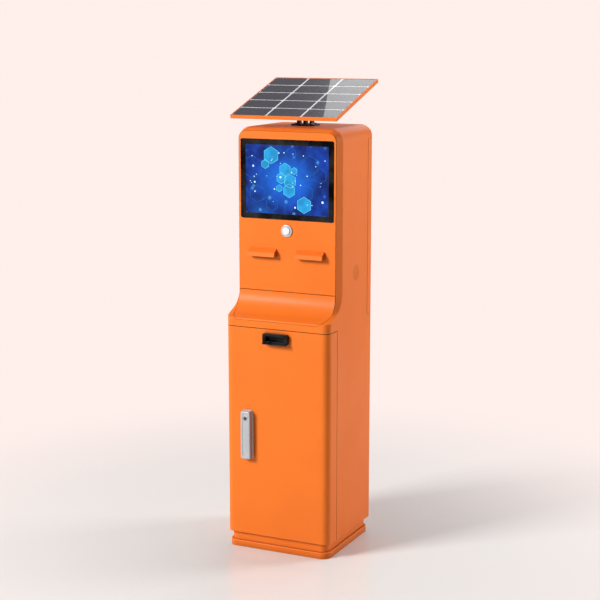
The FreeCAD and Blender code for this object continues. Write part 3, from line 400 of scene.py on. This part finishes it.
def cell_material():
    """Dark silicon under glass, with its fine printed lines."""
    material, graph, shader = new_material("solar_cell")
    spot = graph.here()
    slope = graph.tree.nodes.new("ShaderNodeVectorRotate")
    slope.rotation_type = "X_AXIS"
    graph.feed(slope.inputs["Vector"], spot)
    slope.inputs["Angle"].default_value = -solar_tilt
    lines = graph.tree.nodes.new("ShaderNodeTexWave")
    lines.bands_direction = "Y"
    lines.inputs["Scale"].default_value = 130.0
    graph.feed(lines.inputs["Vector"], slope.outputs[0])
    fine = graph.blend(lines.outputs["Fac"], 0.8, 0.98, 0.0, 0.2)
    crystal = graph.tree.nodes.new("ShaderNodeTexVoronoi")
    crystal.inputs["Scale"].default_value = 45.0
    graph.feed(crystal.inputs["Vector"], spot)
    flake = graph.tree.nodes.new("ShaderNodeSeparateColor")
    graph.feed(flake.inputs[0], crystal.outputs["Color"])
    grey = graph.maths("MULTIPLY", flake.outputs[0], 0.6)
    base = graph.mix(grey, (0.008, 0.008, 0.02, 1), (0.018, 0.018, 0.042, 1))
    graph.feed(shader.inputs["Base Color"], graph.mix(fine, base, (0.12, 0.12, 0.18, 1)))
    graph.feed(shader.inputs["Roughness"], graph.blend(graph.noise(spot, 25.0, 3.0), 0.3, 0.7, 0.22, 0.32))
    graph.feed(shader.inputs["Normal"], graph.bump(lines.outputs["Fac"], 0.05, 0.0001))
    shader.inputs["Specular IOR Level"].default_value = 0.08
    glaze(shader)
    return material


def laminate_material():
    material, graph, shader = new_material("solar_laminate")
    cloud = graph.noise(graph.here(), 30.0, 3.0, 0.6)
    tone = graph.mix(graph.blend(cloud, 0.3, 0.7), (0.72, 0.72, 0.78, 1), (0.86, 0.86, 0.9, 1))
    graph.feed(shader.inputs["Base Color"], tone)
    graph.feed(shader.inputs["Roughness"], graph.blend(cloud, 0.3, 0.7, 0.3, 0.42))
    glaze(shader)
    return material


def glaze(shader):
    shader.inputs["Coat Weight"].default_value = 1.0
    shader.inputs["Coat Roughness"].default_value = 0.015
    shader.inputs["Coat IOR"].default_value = 1.42


def paper_material():
    """End and face of a wound paper roll: thin turns round its core."""
    material, graph, shader = new_material("wound_paper")
    spot = graph.here()
    low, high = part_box("paper_roll")
    centre = (low + high) / 2
    moved = graph.tree.nodes.new("ShaderNodeMapping")
    graph.feed(moved.inputs["Vector"], spot)
    moved.inputs["Location"].default_value = (0.0, -centre.y, -centre.z)
    flat = graph.stretch(moved.outputs[0], (0, 1, 1))
    distance = graph.vectors("LENGTH", flat)["Value"]
    turns = graph.maths("SINE", graph.maths("MULTIPLY", distance, 9000.0))
    tone = graph.mix(graph.blend(turns, -0.6, 0.9), (0.66, 0.65, 0.61, 1), (0.86, 0.85, 0.82, 1))
    fibre = graph.noise(spot, 260.0, 4.0, 0.6)
    tone = graph.mix(graph.blend(fibre, 0.4, 0.8, 0.0, 0.2), tone, (0.55, 0.53, 0.5, 1))
    graph.feed(shader.inputs["Base Color"], tone)
    graph.feed(shader.inputs["Roughness"], graph.blend(fibre, 0.3, 0.7, 0.72, 0.85))
    graph.feed(shader.inputs["Normal"], graph.bump(turns, 0.15, 0.0001))
    return material


PAINT = powder_coat("orange_powder_coat", orange, orange_deep)
# Dark paint of the yoke; on tilt_base the same dark stands in as painted shade over its orange.
DARK_PAINT_AND_PAINTED_SHADE = powder_coat("dark_powder_coat_and_painted_shade", (0.045, 0.022, 0.014, 1), (0.025, 0.014, 0.01, 1),
                         worn_and_highlit=(0.16, 0.1, 0.07, 1))
ZINC = metal("zinc_plated_steel", (0.52, 0.53, 0.55, 1), 0.34, (90, 700, 90), strength=0.1)
SATIN = metal("satin_die_cast", (0.53, 0.54, 0.575, 1), 0.40, (1400, 1400, 300), metallic=0.55,
              strength=0.02, radius=0.0012, bright=0.9)
KEY = metal("key_core", (0.10, 0.10, 0.11, 1), 0.35, (900, 900, 900), strength=0.03)
ALUMINIUM = metal("milled_aluminium", (0.74, 0.75, 0.77, 1), 0.3, (40, 900, 900))
BRASS = metal("turned_brass", (0.62, 0.42, 0.16, 1), 0.28, (300, 300, 900))
RUBBER = plastic("black_rubber", (0.014, 0.014, 0.015, 1), 0.72, 500.0)
GLOSS_BLACK = plastic("gloss_black_moulding", (0.0012, 0.0012, 0.0014, 1), 0.16, 240.0, strength=0.02,
                      shine=0.08)
MATT_BLACK = plastic("matt_black_moulding", (0.018, 0.018, 0.02, 1), 0.55)
GREY = plastic("grey_moulding", (0.2, 0.21, 0.23, 1), 0.5)
WHITE = plastic("white_button_cap", (0.78, 0.79, 0.82, 1), 0.28, 400.0, coat=0.4, strength=0.04,
                radius=0.0015)
BACKSHEET = plastic("white_backsheet", (0.74, 0.75, 0.77, 1), 0.45, 120.0, strength=0.08)
PAPER = paper_material()
DISPLAY = lit_glass()
CELL = cell_material()
LAMINATE = laminate_material()
HEX_FILL = glow("hexagon_fill", (0.03, 0.46, 0.95, 1), 0.88, 30.0)
HEX_RIM = glow("hexagon_rim", (0.16, 0.86, 1.0, 1), 1.05, 40.0)
HEX_LINE = glow("hexagon_line", (0.03, 0.26, 0.82, 1), 0.9, 20.0)
SPARK = glow("spark", (0.62, 0.93, 1.0, 1), 1.5, 60.0)

NODE_MATERIALS = {
    PAINT: ("base_plate", "plinth_neck", "cabinet_shell", "front_panel", "scoop_panel", "left_visor",
            "right_visor", "front_door", "rear_door", "solar_frame"),
    # tilt_base gets the dark paint as painted shade: it is orange, in shadow under the panel.
    DARK_PAINT_AND_PAINTED_SHADE: ("tilt_yoke", "tilt_base"),
    ZINC: ("cabinet_floor", "body_bolts", "door_frames", "hinge_pins", "equipment_shelf", "display_module",
           "display_brackets", "battery_tray", "door_stiffener", "lever_pin", "lock_spindle", "lock_cam",
           "upper_lock_rod", "lower_lock_rod", "printer_bracket", "printer_motor", "lower_rear_cam",
           "upper_rear_cam", "tilt_bolt"),
    KEY: ("lock_cylinder",),
    SATIN: ("call_button_ring", "handle_dish", "swing_lever", "rear_lock_bodies"),
    ALUMINIUM: ("solar_rails",),
    BRASS: ("front_hinge_bushes", "rear_hinge_bushes"),
    RUBBER: ("door_gaskets", "platen_roller"),
    GLOSS_BLACK: ("screen_bezel", "dispenser_bezel", "dispenser_flap"),
    MATT_BLACK: ("call_button_body", "ticket_scanner", "card_reader", "speaker", "battery", "junction_box",
                 "printer_chassis"),
    GREY: ("controller_box", "charge_controller", "roll_spindle"),
    WHITE: ("call_button_cap",),
    BACKSHEET: ("solar_backsheet",),
    PAPER: ("paper_roll",),
    DISPLAY: ("touch_glass",),
    CELL: ("solar_cells",),
    LAMINATE: ("solar_glass",),
}


def dress_nodes():
    for material, names in NODE_MATERIALS.items():
        for name in names:
            for slot in frame["nodes"][name].material_slots:
                slot.link = "OBJECT"
                slot.material = material


# ---- mesh tools -----------------------------------------------------------------------------------
def finish_piece(name, mesh, material, body):
    data = bpy.data.meshes.new(name)
    bmesh.ops.recalc_face_normals(mesh, faces=mesh.faces)
    mesh.to_mesh(data)
    mesh.free()
    data.materials.append(material)
    piece = bpy.data.objects.new(name, data)
    bpy.context.scene.collection.objects.link(piece)
    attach(piece, body)


class Plane:
    """A face that thin shapes are laid on: a corner, two directions and the way out."""

    def __init__(self, origin, right, up):
        self.origin = Vector(origin)
        self.right = Vector(right).normalized()
        self.up = Vector(up).normalized()
        self.out = self.right.cross(self.up).normalized()

    def at(self, across, along, proud=0.0):
        return self.origin + self.right * across + self.up * along + self.out * proud


def add_plate(mesh, plane, corners, low, high):
    """A flat plate of any convex outline, from low to high above the plane."""
    back = [mesh.verts.new(plane.at(u, v, low)) for u, v in corners]
    front = [mesh.verts.new(plane.at(u, v, high)) for u, v in corners]
    mesh.faces.new(front)
    mesh.faces.new(list(reversed(back)))
    count = len(corners)
    for i in range(count):
        j = (i + 1) % count
        mesh.faces.new((back[i], back[j], front[j], front[i]))


def add_ring(mesh, plane, outer, inner, low, high):
    """A flat ring between two outlines with the same number of corners."""
    loops = [[mesh.verts.new(plane.at(u, v, height)) for u, v in corners]
             for corners, height in ((outer, low), (outer, high), (inner, high), (inner, low))]
    count = len(outer)
    for first, second in zip(loops, loops[1:] + loops[:1]):
        for i in range(count):
            j = (i + 1) % count
            mesh.faces.new((first[i], first[j], second[j], second[i]))


def round_points(centre, radius, count, turn=0.0):
    return [(centre[0] + radius * math.cos(turn + math.tau * i / count),
             centre[1] + radius * math.sin(turn + math.tau * i / count)) for i in range(count)]


def bar_points(start, end, width):
    along = Vector(end) - Vector(start)
    side = Vector((-along.y, along.x)).normalized() * width / 2
    first, last = Vector(start), Vector(end)
    return [tuple(first + side), tuple(first - side), tuple(last - side), tuple(last + side)]


# ---- display graphics -----------------------------------------------------------------------------
# places across and up the screen, from -1 to 1, and radii as a share of its half height
HEXAGONS = ((-0.04, 0.30, 0.20), (-0.13, 0.05, 0.17), (0.08, -0.03, 0.21), (0.06, -0.31, 0.21),
            (0.18, 0.27, 0.11), (-0.18, -0.25, 0.11), (-0.38, 0.70, 0.26), (0.42, -0.71, 0.25),
            (-0.52, 0.44, 0.14))
HEXAGON_OUTLINES = ((-0.84, 0.34, 0.34), (-0.72, -0.44, 0.26), (0.56, 0.44, 0.30), (0.80, 0.16, 0.22),
                    (0.46, -0.36, 0.24), (-0.36, -0.72, 0.20), (0.10, 0.76, 0.18), (-0.42, 0.18, 0.16))
HEXAGON_LINKS = (((-0.38, 0.50), (-0.12, 0.40)), ((0.19, 0.33), (0.44, 0.60)),
                 ((0.22, -0.30), (0.46, -0.12)), ((-0.24, -0.34), (-0.62, -0.64)),
                 ((-0.60, 0.34), (-0.30, 0.06)), ((0.30, 0.0), (0.70, 0.05)))


def screen_graphics():
    """A cluster of lit hexagons with fine links and sparks, laid on the glass."""
    low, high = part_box("touch_glass")
    plane = Plane((0.0, low.y, 0.0), (1, 0, 0), (0, 0, 1))
    centre = ((low.x + high.x) / 2, (low.z + high.z) / 2)
    half_width, half_height = (high.x - low.x) / 2, (high.z - low.z) / 2
    turn = math.pi / 6

    def spot(across, along):
        return (centre[0] + across * half_width, centre[1] + along * half_height)

    filled, rims, lines, sparks = bmesh.new(), bmesh.new(), bmesh.new(), bmesh.new()
    for step, (across, along, size) in enumerate(HEXAGONS):
        where, radius = spot(across, along), size * half_height
        lift = glow_lift * (0.4 + 0.05 * step)
        add_plate(filled, plane, round_points(where, radius, 6, turn), -glow_lift, lift)
        add_ring(rims, plane, round_points(where, radius, 6, turn),
                 round_points(where, radius - rim_width, 6, turn), -glow_lift, glow_lift)
    for across, along, size in HEXAGON_OUTLINES:
        where, radius = spot(across, along), size * half_height
        add_ring(lines, plane, round_points(where, radius, 6, turn),
                 round_points(where, radius - outline_width, 6, turn), -glow_lift, glow_lift * 0.3)
    for start, stop in HEXAGON_LINKS:
        bar = bar_points(spot(*start), spot(*stop), link_width)
        add_plate(lines, plane, bar, -glow_lift, glow_lift * 0.25)
    dots = random.Random(7)
    star = round_points(spot(*bright_spark), bright_spark_radius, 8)
    add_plate(sparks, plane, star, -glow_lift, glow_lift)
    for _ in range(spark_count):
        where = spot(dots.uniform(-0.93, 0.93), dots.uniform(-0.93, 0.93))
        size = dots.choice(spark_radii)
        add_plate(sparks, plane, round_points(where, size, 12), -glow_lift, glow_lift)
    finish_piece("screen_hexagons", filled, HEX_FILL, "cabinet")
    finish_piece("screen_hexagon_rims", rims, HEX_RIM, "cabinet")
    finish_piece("screen_links", lines, HEX_LINE, "cabinet")
    finish_piece("screen_sparks", sparks, SPARK, "cabinet")


# ---- solar panel face -----------------------------------------------------------------------------
def panel_plane():
    """Top face of the panel's glass, with its extents across and up the slope."""
    up = Vector((0, math.cos(solar_tilt), math.sin(solar_tilt)))
    right = Vector((1, 0, 0))
    out = right.cross(up)
    points = [v.co for v in frame["nodes"]["solar_glass"].data.vertices]
    top = max(point.dot(out) for point in points)
    origin = out * top
    plane = Plane(origin, right, up)
    cells = [v.co for v in frame["nodes"]["solar_cells"].data.vertices]
    across = [point.dot(right) for point in cells]
    along = [point.dot(up) for point in cells]
    return plane, (min(across), max(across)), (min(along), max(along))


def solar_face():
    plane, (left, right), (bottom, top) = panel_plane()
    width = (right - left - cell_gap_across * (cell_columns - 1)) / cell_columns
    height = (top - bottom - cell_gap_along * (cell_rows - 1)) / cell_rows
    cut = cell_corner_cut
    tiles = bmesh.new()
    for column in range(cell_columns):
        x = left + column * (width + cell_gap_across)
        for row in range(cell_rows):
            y = bottom + row * (height + cell_gap_along)
            far_x, far_y = x + width, y + height
            corners = [(x + cut, y), (far_x - cut, y), (far_x, y + cut), (far_x, far_y - cut),
                       (far_x - cut, far_y), (x + cut, far_y), (x, far_y - cut), (x, y + cut)]
            add_plate(tiles, plane, corners, -cell_lift, cell_lift)
    finish_piece("solar_cell_faces", tiles, CELL, "solar_panel")


# ---- stage ------------------------------------------------------------------------------------------
def make_floor():
    mesh = bmesh.new()
    reach = floor_reach
    add_plate(mesh, Plane((0, 0, 0), (1, 0, 0), (0, 1, 0)),
              [(-reach, -reach), (reach, -reach), (reach, reach), (-reach, reach)], -floor_depth, 0.0)
    data = bpy.data.meshes.new("studio_floor")
    mesh.to_mesh(data)
    mesh.free()
    floor = bpy.data.objects.new("studio_floor", data)
    bpy.context.scene.collection.objects.link(floor)
    material, graph, shader = new_material("studio_floor")
    spot = graph.here()
    shader.inputs["Base Color"].default_value = floor_colour
    grain = graph.noise(spot, 300.0, 2.0)
    graph.feed(shader.inputs["Roughness"], graph.blend(grain, 0.3, 0.7, 0.16, 0.22))
    far = graph.tree.nodes.new("ShaderNodeEmission")
    far.inputs["Color"].default_value = backdrop
    blend = graph.tree.nodes.new("ShaderNodeMixShader")
    seen = graph.tree.nodes.new("ShaderNodeLightPath").outputs["Is Camera Ray"]
    fade = graph.blend(graph.vectors("LENGTH", spot)["Value"], *floor_fade)
    graph.feed(blend.inputs[0], graph.maths("MULTIPLY", fade, seen))
    graph.feed(blend.inputs[1], shader.outputs[0])
    graph.feed(blend.inputs[2], far.outputs[0])
    graph.feed(graph.tree.nodes["Material Output"].inputs[0], blend.outputs[0])
    data.materials.append(material)


def make_world():
    """Pale backdrop, and a soft dome that is dim towards the right front."""
    world = bpy.data.worlds.new("studio")
    bpy.context.scene.world = world
    world.use_nodes = True
    graph = Graph(world.node_tree)
    shown = graph.tree.nodes["Background"]
    shown.inputs[0].default_value = backdrop
    light = graph.tree.nodes.new("ShaderNodeBackground")
    light.inputs[0].default_value = (1.0, 0.96, 0.95, 1)
    sky = graph.tree.nodes.new("ShaderNodeTexCoord").outputs["Generated"]
    toward_gap = graph.vectors("DOT_PRODUCT", sky, Vector(dome_gap_heading).normalized())["Value"]
    graph.feed(light.inputs[1], graph.blend(toward_gap, 0.15, 0.85, dome_light, dome_gap))
    choice = graph.tree.nodes.new("ShaderNodeMixShader")
    graph.feed(choice.inputs[0], graph.tree.nodes.new("ShaderNodeLightPath").outputs["Is Camera Ray"])
    graph.feed(choice.inputs[1], light.outputs[0])
    graph.feed(choice.inputs[2], shown.outputs[0])
    graph.feed(graph.tree.nodes["World Output"].inputs[0], choice.outputs[0])


def add_softbox(name, size, power):
    data = bpy.data.lights.new(name, "AREA")
    data.shape = "RECTANGLE"
    data.size, data.size_y = size
    data.energy = power
    light = bpy.data.objects.new(name, data)
    bpy.context.scene.collection.objects.link(light)
    return light


def soft_light(name, place, aim, size, power, colour):
    light = add_softbox(name, size, power)
    light.data.color = colour
    light.location = place
    light.rotation_mode = "QUATERNION"
    light.rotation_quaternion = (Vector(aim) - Vector(place)).to_track_quat("-Z", "Y")


def mirrored_way(point, out):
    """Direction in which the camera sees the surroundings in a flat face at this point."""
    way = (point - Vector(camera_place)).normalized()
    return way - out * 2 * way.dot(out)


def panel_light():
    """Softbox above and behind, set so that its edge crosses the solar panel's glass."""
    plane, _, along = panel_plane()
    back = plane.at(shine_edge_back, along[1])
    front = plane.at(shine_edge_front, along[0])
    edge = [point + mirrored_way(point, plane.out) * panel_softbox_distance for point in (front, back)]
    middle = (edge[0] + edge[1]) / 2
    away = (mirrored_way(front, plane.out) + mirrored_way(back, plane.out)).normalized()
    along_edge = edge[1] - edge[0]
    along_edge = (along_edge - away * along_edge.dot(away)).normalized()
    side = along_edge.cross(away)
    turn = Matrix((side, along_edge, away)).transposed().to_4x4()
    light = add_softbox("panel_softbox", panel_softbox_size, panel_softbox_power)
    light.matrix_world = Matrix.Translation(middle + side * panel_softbox_size[0] / 2) @ turn


def make_camera():
    data = bpy.data.cameras.new("studio_camera")
    data.lens = camera_lens
    data.sensor_width = 36.0
    data.clip_start, data.clip_end = 0.1, 60.0
    camera = bpy.data.objects.new("studio_camera", data)
    bpy.context.scene.collection.objects.link(camera)
    azimuth, fall = math.radians(camera_azimuth), math.radians(camera_fall)
    level = math.cos(fall)
    forward = Vector((-math.sin(azimuth) * level, math.cos(azimuth) * level, -math.sin(fall)))
    camera.location = camera_place
    camera.rotation_mode = "QUATERNION"
    camera.rotation_quaternion = forward.to_track_quat("-Z", "Y")
    bpy.context.scene.camera = camera


# ---- put together -----------------------------------------------------------------------------------
dress_nodes()
screen_graphics()
solar_face()
make_floor()
make_world()
soft_light("front_softbox", **front_softbox)
soft_light("side_softbox", **side_softbox)
panel_light()
make_camera()
bpy.context.scene.view_settings.view_transform = "Standard"
bpy.context.scene.view_settings.look = "None"
